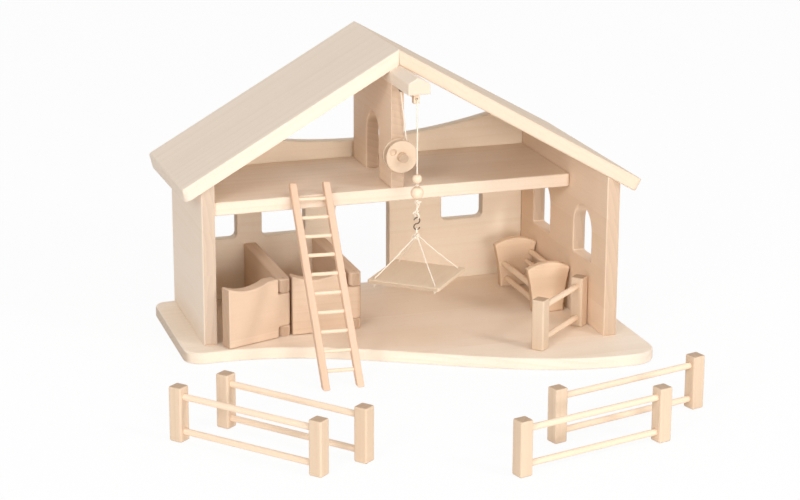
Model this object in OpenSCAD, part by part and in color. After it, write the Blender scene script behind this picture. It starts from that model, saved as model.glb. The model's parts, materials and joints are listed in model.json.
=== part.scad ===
// Toy barn with stall doors, a string hoist, a ladder, a manger and five fences.
// X runs along the back wall to the right, Y runs to the back, Z is up.
// The origin is on the ground under the ridge, in line with the front edge of the left wall.

/* [Boards] */
// Thickness of the wall, roof, loft and stall boards
board_t = 18; // [14:1:20]
// Thickness of the base board
base_t = 16; // [12:1:20]

/* [House] */
// Clear width between the side walls at the front
inner_w = 500; // [480:5:560]
// Depth of the house from the left wall's front edge to the back
house_d = 204; // [198:2:240]
// How far the right wall reaches in front of the left wall
right_wall_reach = 124; // [110:2:130]
// Angle by which the left wall turns inwards towards the back
wall_splay = 1.8; // [0:0.1:3]
// Height of the loft floor's top above the base board
loft_h = 193; // [186:1:205]
// How far the loft floor stays behind the left wall's front edge
loft_setback = 5; // [3:1:8]

/* [Base board] */
// How far the base board reaches past each side wall
base_margin = 30; // [20:2:40]
// How far the base board reaches in front of the left wall
base_front_left = 27; // [20:1:30]
// Depth of the wave from the left front to the right front
base_wave = 177; // [170:1:200]
// Radius of the left front corner
base_corner_left = 24; // [16:1:30]
// Radius of the right front corner
base_corner_right = 34; // [24:1:36]
// Radius of the back corners
base_corner_back = 20; // [10:1:30]

/* [Roof] */
// Height of the ridge above the base board
ridge_h = 383; // [375:1:400]
// Pitch of both roof boards
roof_pitch = 29.5; // [28.5:0.5:31]
// How far the roof reaches past the inner wall faces, measured level
roof_eave = 44; // [30:1:50]
// How far the right roof board reaches in front of the right wall
roof_front_right = 4; // [0:1:8]
// Angle by which the left roof board's eave is cut steeper than square
eave_cut = 18; // [0:1:29]
// How far the roof reaches in front of the left wall at the ridge
roof_front = 5; // [3:1:10]
// How far the back edge of the roof stays in front of the back wall's outer face
roof_back_setback = 7; // [0:1:14]
// Radius of the roof's eave corners
roof_corner = 6; // [4:1:14]

/* [Windows and doorway] */
// Width of the side windows
side_window_w = 62.5; // [50:0.5:70]
// Height of the side window sills above the base board
side_sill_h = 88; // [80:1:100]
// Height of the straight part of the side windows
side_window_straight = 40.5; // [24:0.5:44]
// Distance of the rear side window's middle from the front line
side_window_rear_y = 108.5; // [105:0.5:115]
// Distance of the front side window's middle in front of the front line
side_window_front_y = 41; // [36:1:46]
// Width of the back windows
back_window_w = 62.5; // [40:0.5:64]
// Height of the back windows
back_window_h = 52; // [40:1:60]
// Height of the back window sills above the base board
back_sill_h = 87.5; // [84:0.5:95]
// Corner radius of the back windows
back_window_r = 8; // [3:1:12]
// Distance of the right back window from the ridge line
right_back_window_x = 158.5; // [140:0.5:170]
// Width of the doorway
doorway_w = 80; // [60:1:84]
// Height of the doorway to the top of its arch
doorway_h = 152; // [130:1:165]
// Distance of the doorway's middle from the ridge line
doorway_x = 9; // [5:1:15]
// Lowest height of the back wall above the base board
parapet_h = 215.5; // [212:0.5:225]
// Radius of the curved top of the back wall
parapet_r = 850; // [750:10:900]

/* [Stalls] */
// Middle of the left partition, from the left wall's inner front edge
partition_left_x = 94; // [92:1:100]
// Middle of the right partition, from the left wall's inner front edge
partition_right_x = 193; // [190:1:198]
// Height of the partitions and doors
stall_h = 80; // [70:1:83]
// Diameter of the hinge pins
hinge_pin_d = 5; // [4:0.5:6]
// Height of the partition's upper hinge finger
upper_finger_h = 19; // [15:1:24]
// Height of the partition's lower hinge finger
lower_finger_h = 15; // [12:1:20]
// Gap between a door and the next wall or partition
door_gap = 1.6; // [1:0.1:3]
// Gap between the hinge fingers and the door's knuckle
hinge_gap = 0.5; // [0.3:0.1:1]
// Where the door's board begins beside the fingers, from the pin's middle
door_shoulder = 13; // [12:0.5:15]
// Depth of the curved dip in the top of a door
door_dip = 6.5; // [3:0.5:9]
// Length of the dip along the door
door_dip_w = 60; // [50:1:62]
// Angle by which the left door stands open
left_door_open = 19.5; // [5:0.5:60]

/* [Loft divider] */
// How far the divider and the hoist stand right of the ridge line
hoist_x = 1.5; // [0:0.5:4]
// Depth of the divider from the loft's front edge
divider_d = 171; // [160:1:180]
// Width of the arched opening in the divider
arch_w = 56; // [45:1:60]
// Height of the arched opening
arch_h = 86; // [70:1:90]
// Distance of the arch's middle behind the divider's front edge
arch_y = 82; // [80:1:95]

/* [Hoist] */
// Width of the hoist arm
arm_w = 30; // [28:1:34]
// How far the arm hangs below the roof's underside at the ridge
arm_h = 23; // [20:1:28]
// How far the arm reaches in front of the divider
arm_reach = 90; // [85:1:95]
// How far the arm is let into the divider
arm_tail = 30; // [20:1:40]
// Width of the small string block under the arm
block_w = 8; // [7:0.5:10]
// Height of the small string block
block_h = 14; // [10:0.5:16]
// Distance of the hanging string in front of the divider
string_reach = 81; // [80:0.5:82]
// Diameter of the hoist string
string_d = 2; // [1.6:0.1:2]
// Height of the drum's axle above the loft floor
drum_h = 47; // [44:1:52]
// Diameter of the drum's flanges
flange_d = 44; // [40:1:48]
// Thickness of each flange
flange_t = 4; // [3.5:0.1:4]
// Diameter of the hub between the flanges
hub_d = 16; // [14.5:0.5:18]
// Width of the hub
hub_w = 10.7; // [10.5:0.1:11.5]
// Diameter of the axle in the drum
axle_d = 12; // [10:0.5:12.5]
// Length of the axle's end in front of the drum
axle_end = 9; // [5:0.5:12]
// Diameter of the axle's tail in the divider
axle_tail_d = 8; // [6:0.5:9]
// Length of the axle's tail in the divider
axle_tail = 28; // [20:1:35]
// Number of turns of string on the hub
winding_turns = 3; // [2:1:3]

/* [Lift] */
// Length of the lifting platform's sides
platform_w = 100; // [90:1:104]
// Thickness of the platform
platform_t = 5; // [4:0.5:7]
// Height of the platform's top above the base board
platform_h = 97.5; // [96:0.5:100]
// Angle by which the platform has turned on its string
platform_turn = 50; // [45:1:55]
// Distance of the string holes from the platform's edges
platform_hole_inset = 8; // [6:0.5:12]
// Diameter of the sling strings
sling_d = 1.5; // [1.2:0.1:1.8]
// Height of the sling's knot above the platform
sling_h = 52; // [46:1:54]
// Diameter of the small bead
small_bead_d = 13; // [11:0.5:14]
// Diameter of the large bead
large_bead_d = 17; // [15:0.5:18]
// Height of the large bead's middle above the platform
large_bead_h = 110; // [109:0.5:113]
// Mean radius of the hook's two bends
hook_r = 4; // [3.6:0.1:4.2]
// Diameter of the hook's wire
hook_wire = 1.6; // [1.2:0.1:1.8]

/* [Ladder] */
// Length of the ladder's rails
ladder_len = 292; // [285:1:296]
// Distance between the middles of the rails
ladder_w = 45.5; // [40:0.5:52]
// Width and depth of a rail
ladder_rail = 9.5; // [8:0.5:11]
// Distance of the feet in front of the left wall
ladder_feet = 167; // [160:1:172]
// Middle of the ladder, from the ridge line
ladder_x = -127.4; // [-131:0.1:-125]
// Angle by which the ladder leans to the right
ladder_tilt = 1.6; // [0:0.1:2]
// Number of rungs
rung_count = 10; // [8:1:10]
// Distance between the rungs
rung_pitch = 26.6; // [24:0.1:27]
// Distance of the first rung from the foot
rung_first = 24; // [20:1:28]
// Diameter of the rungs
rung_d = 5; // [4:0.5:6]

/* [Manger] */
// Length of the manger over its end boards
manger_len = 139; // [130:1:148]
// Thickness of the manger's end boards
manger_t = 12; // [10:0.5:14]
// Width of the end boards at the top
manger_top_w = 63; // [60:1:66]
// Width of the end boards at the bottom
manger_bottom_w = 45; // [40:1:48]
// Height of the end boards to their upper corners
manger_side_h = 62.5; // [58:0.5:68]
// Height of the end boards to the top of the arch
manger_h = 71; // [70:0.5:76]
// How far the curved sides draw in
manger_side_curve = 2; // [1:0.5:3]
// Front end of the manger behind the left wall's front edge
manger_y = -4; // [-6:1:3]
// Diameter of the manger's rails
manger_rail_d = 8; // [6:0.5:9]

/* [Fences] */
// Side of a fence post
post_w = 18; // [16:0.5:18]
// Height of a fence post
post_h = 69; // [64:1:74]
// Height of the lower rail
rail_low = 12.5; // [11:0.5:16]
// Height of the upper rail
rail_high = 56.5; // [50:0.5:58]
// Diameter of the fence rails
rail_d = 8; // [6:0.5:9]
// Distance between the posts of the fence on the base board
inner_fence_len = 115.5; // [110:0.5:116]
// Distance between the posts of the two left fences
left_fence_len = 203; // [190:1:206]
// Distance between the posts of the front right fence
right_fence_len = 205; // [190:1:206]
// Distance between the posts of the back right fence
far_fence_len = 214; // [190:1:220]

/* [Hidden] */
$fn = 48;

// Colours of the wood and the fittings
pale_wood = "#ecd9b8";
roof_wood = "#e3d2b4";
inner_wood = "#e2c49c";
dowel_wood = "#ead2ab";
string_white = "#f4efe4";
steel_grey = "#8c8c8c";

// Small play where one wooden piece turns or sits in another
fit = 0.06;
// Overshoot of a cut past the face that it opens
cut = 1;

// Inner faces of the side walls at the front, and outer face of the right wall
wall_x = inner_w / 2;
right_outer_x = wall_x + board_t;
back_inner_y = house_d - board_t;
loft_top = base_t + loft_h;
loft_bottom = loft_top - board_t;
ridge_top = base_t + ridge_h;
roof_drop = board_t / cos(roof_pitch);
ridge_under = ridge_top - roof_drop;
roof_x = wall_x + roof_eave;
base_x = right_outer_x + base_margin;

// Roof's underside above a point at distance x from the ridge line
function under_roof(x) = ridge_under - abs(x) * tan(roof_pitch);

// Inner face of the splayed left wall at depth y
function left_inner_x(y) = -wall_x + y * tan(wall_splay);

// Front edge of the base board: half a cosine wave from the left front to the right front
function base_front_y(x) = -base_front_left - base_wave / 2 * (1 - cos(180 * (x + wall_x) / inner_w));

function arc(c, r, a0, a1, n = 10) = [
    for (i = [0:n]) c + r * [cos(a0 + (a1 - a0) * i / n), sin(a0 + (a1 - a0) * i / n)]
];

base_wave_steps = 40;
base_front_right = base_front_left + base_wave;
base_left_drift = tan(wall_splay) * (house_d + base_front_left - base_corner_back - base_corner_left);
base_outline = concat(
    arc([-base_x + base_corner_left, -base_front_left + base_corner_left],
        base_corner_left, 180 - wall_splay, 270),
    [for (i = [0:base_wave_steps])
        let(x = -wall_x + inner_w * i / base_wave_steps) [x, base_front_y(x)]],
    arc([base_x - base_corner_right, -base_front_right + base_corner_right], base_corner_right, 270, 360),
    arc([base_x - base_corner_back, house_d - base_corner_back], base_corner_back, 0, 90),
    arc([-base_x + base_corner_back + base_left_drift, house_d - base_corner_back],
        base_corner_back, 90, 180 - wall_splay)
);

// Screws from below into the walls and partitions
screw_d = 3.6;
screw_len = 38;
screw_head_d = 7;
screw_head_h = 2;
screw_sink = 0.5;
partition_x1 = partition_left_x - wall_x;
partition_x2 = partition_right_x - wall_x;
screw_inset = 30;
screw_corner = 40;
screw_back_left = 170;
screw_back_right = 130;
screw_places = concat(
    [for (y = [screw_inset, house_d / 2, house_d - screw_corner]) [left_inner_x(y) - board_t / 2, y]],
    [for (y = [-right_wall_reach + screw_inset, 0, house_d / 2, house_d - screw_corner])
        [wall_x + board_t / 2, y]],
    [for (x = [-wall_x + screw_corner, -wall_x + screw_back_left,
               wall_x - screw_back_right, wall_x - screw_corner])
        [x, house_d - board_t / 2]],
    [for (x = [partition_x1, partition_x2]) for (y = [2 * screw_inset, back_inner_y - screw_inset]) [x, y]]
);

// Hinges of the stall doors
hinge_y = loft_setback + board_t / 2;
hinge_r = board_t / 2;
left_door_len = partition_x1 - left_inner_x(hinge_y) - door_gap;
right_door_len = partition_x2 - partition_x1 - board_t / 2 - door_gap;
door_lift = 0.6;
door_h = stall_h + 2;
door_dip_r = (pow(door_dip_w / 2, 2) + pow(door_dip, 2)) / (2 * door_dip);

// Hoist
divider_front = loft_setback;
arm_bottom = ridge_under - arm_h;
arm_front = divider_front - arm_reach;
drop_y = divider_front - string_reach;
block_gap = 3;
block_t = 8;
string_z = arm_bottom - 8;
drum_z = loft_top + drum_h;
drum_back = divider_front - 0.3;
hub_back = drum_back - flange_t;
hub_front = hub_back - hub_w;
drum_front = hub_front - flange_t;
dimple_d = 8.5;
dimple_depth = 3.2;
dimple_place = 14;
dimple_angle = 150;

// Winding of string on the hub: a helix at one pitch
winding_r = hub_d / 2 + string_d / 2 + 0.1;
winding_pitch = string_d + 0.6;
winding_steps = 24;
winding_mid = (hub_front + hub_back) / 2;
winding_turn_pts = [
    for (i = [0:winding_turns * winding_steps])
        let(a = 360 * i / winding_steps)
        [winding_r * cos(a),
         winding_mid + winding_pitch * (i / winding_steps - winding_turns / 2),
         winding_r * sin(a)]
];
winding_first = winding_turn_pts[0];
winding_last = winding_turn_pts[len(winding_turn_pts) - 1];
winding_route = concat(
    [winding_first - [0, 0, string_d]],
    winding_turn_pts,
    [winding_last + [0, 0, string_d]]
);
winding_gap = min([
    for (i = [0:len(winding_turn_pts) - 1 - winding_steps])
        norm(winding_turn_pts[i + winding_steps] - winding_turn_pts[i])
]) - string_d;

// Route of the fixed run of string: up from the drum, through the eye, along the arm, through the block
string_side = winding_r + string_d + 0.3;
eye_y = -10;
eye_r = 3.2;
eye_wire = 1.4;
run_route = [
    [hoist_x + string_side, -5, drum_z - 4],
    [hoist_x + string_side, -5, drum_z + 4],
    [hoist_x + string_side * 0.5, -5, (drum_z + string_z) / 2],
    [hoist_x + string_side * 0.1, -5, string_z - 12],
    [hoist_x, -5.2, string_z - 6],
    [hoist_x, -6, string_z - 3],
    [hoist_x, -7.6, string_z - 1],
    [hoist_x, -10, string_z],
    [hoist_x, -20, string_z],
    [hoist_x, drop_y + 25, string_z],
    [hoist_x, drop_y + 7, string_z],
    [hoist_x, drop_y + 4, string_z],
    [hoist_x, drop_y + 2.3, string_z - 0.6],
    [hoist_x, drop_y + 0.8, string_z - 2],
    [hoist_x, drop_y, string_z - 4],
    [hoist_x, drop_y, string_z - 6]
];

// Lift, from the platform up
platform_top = base_t + platform_h;
large_bead_z = platform_top + large_bead_h;
small_bead_z = large_bead_z + (large_bead_d + small_bead_d) / 2 + 3.6;
bead_bore = string_d + 0.4;
drop_top = string_z - 6;
drop_bottom = small_bead_z + small_bead_d / 2;
link = hook_wire / 2 + string_d / 2 + 0.1;
sling_knot_z = platform_top + sling_h;
sling_knot_r = 3;
loop_r = 4;
sling_loop_z = sling_knot_z + sling_knot_r + loop_r - 0.8;
hook_low_z = sling_loop_z + loop_r - link + hook_r;
hook_high_z = hook_low_z + 2 * hook_r;
cord_loop_z = hook_high_z + hook_r - link + loop_r;
cord_knot_z = cord_loop_z + loop_r + 2;
cord_knot_r = 2.8;
platform_hole = sling_d + 0.6;
under_knot_r = 2;

// Ladder, leaning on the front edge of the loft floor
ladder_gap = 0.25;
lean_span = norm([ladder_feet + loft_setback, loft_top]);
ladder_lean = atan2(loft_top, ladder_feet + loft_setback)
    + asin((ladder_rail / 2 + ladder_gap) / lean_span);
rung_bore = 5;

// Manger, against the right wall
manger_x = wall_x - 0.5 - manger_top_w / 2;
// Rails of both sides, and a higher one towards the wall
manger_rail_places = [[17.5, 34.5], [13, 12], [-17.5, 34.5], [-13, 12], [23, 48.5]];
manger_arch = manger_h - manger_side_h;
manger_arch_r = (pow(manger_top_w / 2, 2) + pow(manger_arch, 2)) / (2 * manger_arch);
manger_bore = 8;
side_steps = 8;

// Fences: place of the left post, turn of the fence, distance between the posts, ground height
rail_bore = 10;
inner_fence = [[150.4, -144.5, base_t], 41.8, inner_fence_len];
fence_one = [[-367.1, -280.6, 0], -50.8, left_fence_len];
fence_two = [[-302.4, -254, 0], -51.6, left_fence_len];
fence_three = [[-15.1, -510.8, 0], 14.7, right_fence_len];
fence_four = [[63.1, -423, 0], 15.4, far_fence_len];

// Tube along a list of points, with its rings square to the path
function unit(v) = v / norm(v);
function path_dir(p, i) =
    unit(p[min(i + 1, len(p) - 1)] - p[max(i - 1, 0)]);
function carry(p, i, prev) =
    let(t = path_dir(p, i)) unit(prev - t * (prev * t));
function side_dirs(p, i, prev, found) =
    i == len(p) ? found
    : let(s = carry(p, i, prev)) side_dirs(p, i + 1, s, concat(found, [s]));
function ring(p, i, side, r, n) =
    let(t = path_dir(p, i), up = cross(t, side))
    [for (k = [0:n - 1]) p[i] + r * (cos(360 * k / n) * side + sin(360 * k / n) * up)];

module tube(p, d, n = 8, first_side = [1, 0, 0]) {
    sides = side_dirs(p, 0, carry(p, 0, first_side), []);
    rings = [for (i = [0:len(p) - 1]) each ring(p, i, sides[i], d / 2, n)];
    last = (len(p) - 1) * n;
    walls = [
        for (i = [0:len(p) - 2]) for (k = [0:n - 1])
            let(a = i * n + k, b = i * n + (k + 1) % n)
            each [[a, b + n, b], [a, a + n, b + n]]
    ];
    start_cap = [for (k = [1:n - 2]) [0, k, k + 1]];
    end_cap = [for (k = [1:n - 2]) [last, last + k + 1, last + k]];
    polyhedron(points = rings, faces = concat(walls, start_cap, end_cap));
}

// Round rod from one point to another
module rod(a, b, d) {
    v = b - a;
    translate(a)
        rotate([0, acos(v[2] / norm(v)), atan2(v[1], v[0])])
            cylinder(h = norm(v), d = d);
}

// Cylinder along Y
module y_cylinder(h, d) {
    rotate([-90, 0, 0])
        cylinder(h = h, d = d);
}

// Extrusion along Y of an outline drawn in X and Z, from depth y0
module along_y(y0, depth) {
    translate([0, y0 + depth, 0])
        rotate([90, 0, 0])
            linear_extrude(depth)
                children();
}

// Extrusion along X of an outline drawn in Y and Z, from x0
module along_x(x0, width) {
    translate([x0, 0, 0])
        rotate([90, 0, 90])
            linear_extrude(width)
                children();
}

// Opening with straight sides and a round top, from its sill
module arched_opening(w, straight) {
    translate([-w / 2, 0])
        square([w, straight]);
    translate([0, straight])
        circle(d = w);
}

module rounded_opening(w, h, r) {
    polygon(concat(
        arc([w / 2 - r, r], r, -90, 0),
        arc([w / 2 - r, h - r], r, 0, 90),
        arc([-w / 2 + r, h - r], r, 90, 180),
        arc([-w / 2 + r, r], r, 180, 270)
    ));
}

// Space under the roof boards, for walls that end at the roof
module roof_space() {
    far_x = roof_x + 100;
    along_y(-2 * right_wall_reach, 2 * right_wall_reach + 2 * house_d)
        polygon([
            [-far_x, 0], [far_x, 0], [far_x, under_roof(far_x)],
            [0, ridge_under], [-far_x, under_roof(far_x)]
        ]);
}

// Left wall as a board that turns about its inner front edge
module left_wall_board(extra = 0) {
    translate([-wall_x, 0, base_t])
        rotate([0, 0, -wall_splay])
            translate([-board_t - extra, -extra, 0])
                cube([board_t + extra, house_d / cos(wall_splay) + 2 * extra, ridge_h]);
}

module screw_holes(depth, d = screw_d + 2 * fit) {
    for (p = screw_places)
        translate([p[0], p[1], -cut])
            cylinder(h = depth + cut, d = d);
}

module base_board() {
    color(pale_wood)
        difference() {
            linear_extrude(base_t)
                polygon(base_outline);
            screw_holes(base_t + cut);
            for (p = screw_places)
                translate([p[0], p[1], -cut])
                    cylinder(h = screw_sink + cut, d = screw_head_d + 0.4);
            for (p = screw_places)
                translate([p[0], p[1], screw_sink])
                    cylinder(h = screw_head_h + 0.2, d1 = screw_head_d + 0.4, d2 = screw_d + 2 * fit);
        }
}

module base_screws() {
    color(steel_grey)
        for (p = screw_places)
            translate([p[0], p[1], screw_sink])
                union() {
                    cylinder(h = screw_head_h, d1 = screw_head_d, d2 = screw_d);
                    cylinder(h = screw_len, d = screw_d);
                }
}

module left_wall() {
    color(pale_wood)
        difference() {
            intersection() {
                left_wall_board();
                roof_space();
            }
            screw_holes(screw_sink + screw_len + 1);
        }
}

module right_wall() {
    color(pale_wood)
        difference() {
            intersection() {
                translate([wall_x, -right_wall_reach, base_t])
                    cube([board_t, right_wall_reach + house_d, ridge_h]);
                roof_space();
            }
            for (y = [-side_window_front_y, side_window_rear_y])
                translate([0, y, base_t + side_sill_h])
                    along_x(wall_x - cut, board_t + 2 * cut)
                        arched_opening(side_window_w, side_window_straight);
            screw_holes(screw_sink + screw_len + 1);
        }
}

// Back windows beside the left partition, and on the right
window_side = 9;
back_window_places = [
    [partition_x1 - board_t / 2 - window_side - back_window_w / 2, back_sill_h],
    [partition_x1 + board_t / 2 + window_side + back_window_w / 2, back_sill_h],
    [right_back_window_x, back_sill_h]
];

module back_wall() {
    color(pale_wood)
        difference() {
            intersection() {
                translate([-wall_x, back_inner_y, base_t])
                    cube([inner_w, board_t, ridge_h]);
                roof_space();
            }
            left_wall_board(2 * board_t);
            translate([0, 0, base_t + parapet_h + parapet_r])
                along_y(back_inner_y - cut, board_t + 2 * cut)
                    circle(r = parapet_r, $fn = 360);
            for (p = back_window_places)
                translate([p[0], 0, base_t + p[1]])
                    along_y(back_inner_y - cut, board_t + 2 * cut)
                        rounded_opening(back_window_w, back_window_h, back_window_r);
            translate([doorway_x, 0, base_t])
                along_y(back_inner_y - cut, board_t + 2 * cut)
                    union() {
                        arched_opening(doorway_w, doorway_h - doorway_w / 2);
                        translate([-doorway_w / 2, -cut])
                            square([doorway_w, 2 * cut]);
                    }
            screw_holes(screw_sink + screw_len + 1);
        }
}

loft_corner = 6;
module loft_floor() {
    color(pale_wood)
        translate([0, 0, loft_bottom])
            linear_extrude(board_t)
                polygon(concat(
                    [[left_inner_x(back_inner_y), back_inner_y],
                     [left_inner_x(loft_setback), loft_setback]],
                    arc([wall_x - loft_corner, loft_setback + loft_corner], loft_corner, 270, 360),
                    [[wall_x, back_inner_y]]
                ));
}

module loft_divider() {
    color(pale_wood)
        difference() {
            intersection() {
                translate([hoist_x - board_t / 2, divider_front, loft_top])
                    cube([board_t, divider_d, ridge_h]);
                roof_space();
            }
            translate([0, divider_front + arch_y, loft_top])
                along_x(hoist_x - board_t / 2 - cut, board_t + 2 * cut)
                    union() {
                        arched_opening(arch_w, arch_h - arch_w / 2);
                        translate([-arch_w / 2, -cut])
                            square([arch_w, 2 * cut]);
                    }
            translate([hoist_x - arm_w, divider_front - cut, arm_bottom])
                cube([2 * arm_w, arm_tail + cut, 2 * arm_h]);
            translate([hoist_x, divider_front - cut, drum_z])
                y_cylinder(axle_tail + 1 + cut, axle_tail_d + 2 * fit);
        }
}

// Roof board of the right side in its own plane: the ridge at 0, the eave at its far end
roof_len = roof_x / cos(roof_pitch);
module roof_board(front_ridge, front_eave, cut_angle = 0) {
    back_y = house_d - roof_back_setback;
    edge_turn = atan2(front_eave - front_ridge, roof_len);
    corner = roof_corner + board_t * tan(cut_angle);
    eave_end = roof_len - roof_corner + corner;
    intersection() {
        translate([0, 0, ridge_top])
            rotate([0, roof_pitch, 0])
                translate([0, 0, -board_t])
                    linear_extrude(board_t)
                        polygon(concat(
                            [[-board_t, back_y],
                             [-board_t, front_ridge - board_t * tan(edge_turn)]],
                            arc([eave_end - corner,
                                 front_eave + corner / cos(edge_turn) - corner * tan(edge_turn)],
                                corner, 270 + edge_turn, 360),
                            arc([eave_end - corner, back_y - corner], corner, 0, 90)
                        ));
        translate([0, -2 * house_d, 0])
            cube([2 * roof_x, 4 * house_d, 2 * ridge_top]);
        translate([roof_x, 0, ridge_top - roof_x * tan(roof_pitch)])
            rotate([0, roof_pitch - cut_angle, 0])
                translate([-2 * roof_x, -2 * house_d, -2 * ridge_top])
                    cube([2 * roof_x, 4 * house_d, 4 * ridge_top]);
    }
}

// Front edge of the right roof board, past the right wall's outer front corner
roof_slant = (right_wall_reach + roof_front_right - roof_front) / right_outer_x;

module roof_left() {
    color(roof_wood)
        mirror([1, 0, 0])
            roof_board(-roof_front, -roof_front, eave_cut);
}

module roof_right() {
    color(roof_wood)
        roof_board(-roof_front, -roof_front - roof_slant * roof_x);
}

module hoist_arm() {
    half = arm_w / 2;
    color(pale_wood)
        difference() {
            along_y(arm_front, arm_reach + arm_tail)
                polygon([
                    [hoist_x - half, arm_bottom],
                    [hoist_x + half, arm_bottom],
                    [hoist_x + half, under_roof(hoist_x + half)],
                    [0, ridge_under],
                    [hoist_x - half, under_roof(hoist_x - half)]
                ]);
            translate([hoist_x, eye_y, arm_bottom - cut])
                cylinder(h = eye_shank + 1 + cut, d = eye_wire + 2 * fit);
        }
}

module string_block() {
    color(dowel_wood)
        difference() {
            translate([hoist_x - block_w / 2, drop_y + block_gap, arm_bottom - block_h])
                cube([block_w, block_t, block_h]);
            translate([hoist_x, drop_y, string_z])
                y_cylinder(block_t + 2 * block_gap, string_d + 1.2);
        }
}

eye_shank = 9;
module string_eye() {
    color(steel_grey)
        translate([hoist_x, eye_y, string_z])
            union() {
                rotate([90, 0, 0])
                    rotate_extrude()
                        translate([eye_r, 0])
                            circle(d = eye_wire);
                translate([0, 0, eye_r])
                    cylinder(h = arm_bottom + eye_shank - string_z - eye_r, d = eye_wire);
            }
}

module hoist_string() {
    color(string_white)
        tube(run_route, string_d);
}

// Stall partition with two hinge fingers round the pin
module partition(x) {
    knuckle_low = base_t + lower_finger_h;
    knuckle_high = base_t + stall_h - upper_finger_h;
    difference() {
        union() {
            translate([x - board_t / 2, hinge_y, base_t])
                cube([board_t, back_inner_y - hinge_y, stall_h]);
            translate([x, hinge_y, base_t])
                cylinder(h = stall_h, r = hinge_r);
        }
        translate([x - board_t, hinge_y - board_t, knuckle_low])
            cube([2 * board_t, board_t + hinge_r + 1, knuckle_high - knuckle_low]);
        translate([x, hinge_y, base_t - cut])
            cylinder(h = stall_h + 2 * cut, d = hinge_pin_d + 2 * fit);
        screw_holes(screw_sink + screw_len + 1);
    }
}

module partition_left() {
    color(inner_wood)
        partition(partition_x1);
}

module partition_right() {
    color(inner_wood)
        partition(partition_x2);
}

module hinge_pin(x) {
    color(dowel_wood)
        translate([x, hinge_y, base_t])
            cylinder(h = stall_h, d = hinge_pin_d);
}

module hinge_pin_left() {
    hinge_pin(partition_x1);
}

module hinge_pin_right() {
    hinge_pin(partition_x2);
}

// Stall door along -X from its pin at the origin, standing on z = 0
module stall_door(door_len) {
    knuckle_low = lower_finger_h + hinge_gap - door_lift;
    knuckle_high = stall_h - upper_finger_h - hinge_gap - door_lift;
    height = door_h - door_lift;
    dip_mid = door_len - 3 - door_dip_w / 2;
    difference() {
        union() {
            along_y(-board_t / 2, board_t)
                difference() {
                    translate([-door_len, 0])
                        square([door_len - door_shoulder, height]);
                    translate([-dip_mid, height - door_dip + door_dip_r])
                        circle(r = door_dip_r, $fn = 180);
                }
            translate([-door_len / 2, -board_t / 2, knuckle_low])
                cube([door_len / 2, board_t, knuckle_high - knuckle_low]);
            translate([0, 0, knuckle_low])
                cylinder(h = knuckle_high - knuckle_low, r = hinge_r);
        }
        translate([0, 0, knuckle_low - cut])
            cylinder(h = knuckle_high - knuckle_low + 2 * cut, d = hinge_pin_d + 2 * fit);
    }
}

module stall_door_left() {
    color(inner_wood)
        translate([partition_x1, hinge_y, base_t + door_lift])
            rotate([0, 0, left_door_open])
                stall_door(left_door_len);
}

module stall_door_right() {
    color(inner_wood)
        translate([partition_x2, hinge_y, base_t + door_lift])
            stall_door(right_door_len);
}

module at_drum(y) {
    translate([hoist_x, y, drum_z])
        children();
}

module drum_bore(y, depth) {
    translate([0, y - cut, 0])
        y_cylinder(depth + 2 * cut, axle_d + 2 * fit);
}

module winch_front_flange() {
    color(pale_wood)
        at_drum(drum_front)
            difference() {
                y_cylinder(flange_t, flange_d);
                drum_bore(0, flange_t);
                translate([dimple_place * cos(dimple_angle), -cut, dimple_place * sin(dimple_angle)])
                    y_cylinder(dimple_depth + cut, dimple_d);
            }
}

module winch_back_flange() {
    color(pale_wood)
        at_drum(hub_back)
            difference() {
                y_cylinder(flange_t, flange_d);
                drum_bore(0, flange_t);
            }
}

module winch_hub() {
    color(dowel_wood)
        at_drum(hub_front)
            difference() {
                y_cylinder(hub_w, hub_d);
                drum_bore(0, hub_w);
            }
}

module winch_axle() {
    color(dowel_wood)
        union() {
            at_drum(drum_front - axle_end)
                y_cylinder(axle_end + drum_back - drum_front, axle_d);
            at_drum(drum_back - cut)
                y_cylinder(cut + 0.3 + axle_tail, axle_tail_d);
        }
}

module string_winding() {
    color(string_white)
        translate([hoist_x, 0, drum_z])
            tube(winding_route, string_d);
}

module drop_string() {
    color(string_white)
        translate([hoist_x, drop_y, drop_bottom])
            cylinder(h = drop_top - drop_bottom, d = string_d);
}

module bead(d, z) {
    translate([hoist_x, drop_y, z])
        difference() {
            sphere(d = d);
            translate([0, 0, -d])
                cylinder(h = 2 * d, d = bead_bore);
        }
}

module small_bead() {
    color(dowel_wood)
        bead(small_bead_d, small_bead_z);
}

module large_bead() {
    color(dowel_wood)
        bead(large_bead_d, large_bead_z);
}

// Loop of string in the plane across the hook
module string_loop(z, d) {
    translate([0, 0, z])
        rotate([0, 90, 0])
            rotate_extrude()
                translate([loop_r, 0])
                    circle(d = d);
}

// Cord from the top of the beads to the knot and loop on the hook
module bead_cord() {
    color(string_white)
        translate([hoist_x, drop_y, 0])
            union() {
                rod([0, 0, cord_knot_z], [0, 0, drop_bottom], string_d);
                translate([0, 0, cord_knot_z])
                    sphere(r = cord_knot_r);
                translate([0, 0, (small_bead_z + large_bead_z + (large_bead_d - small_bead_d) / 2) / 2])
                    sphere(d = 3);
                string_loop(cord_loop_z, string_d);
            }
}

module hook_bend(z, turn) {
    translate([0, 0, z])
        rotate([90, turn, 0])
            rotate_extrude(angle = 270)
                translate([hook_r, 0])
                    circle(d = hook_wire);
}

module lift_hook() {
    color(steel_grey)
        translate([hoist_x, drop_y, 0])
            union() {
                hook_bend(hook_high_z, 90);
                hook_bend(hook_low_z, -90);
            }
}

sling_reach = platform_w / 2 - platform_hole_inset;
sling_corners = [[1, 1], [-1, 1], [-1, -1], [1, -1]];

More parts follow.
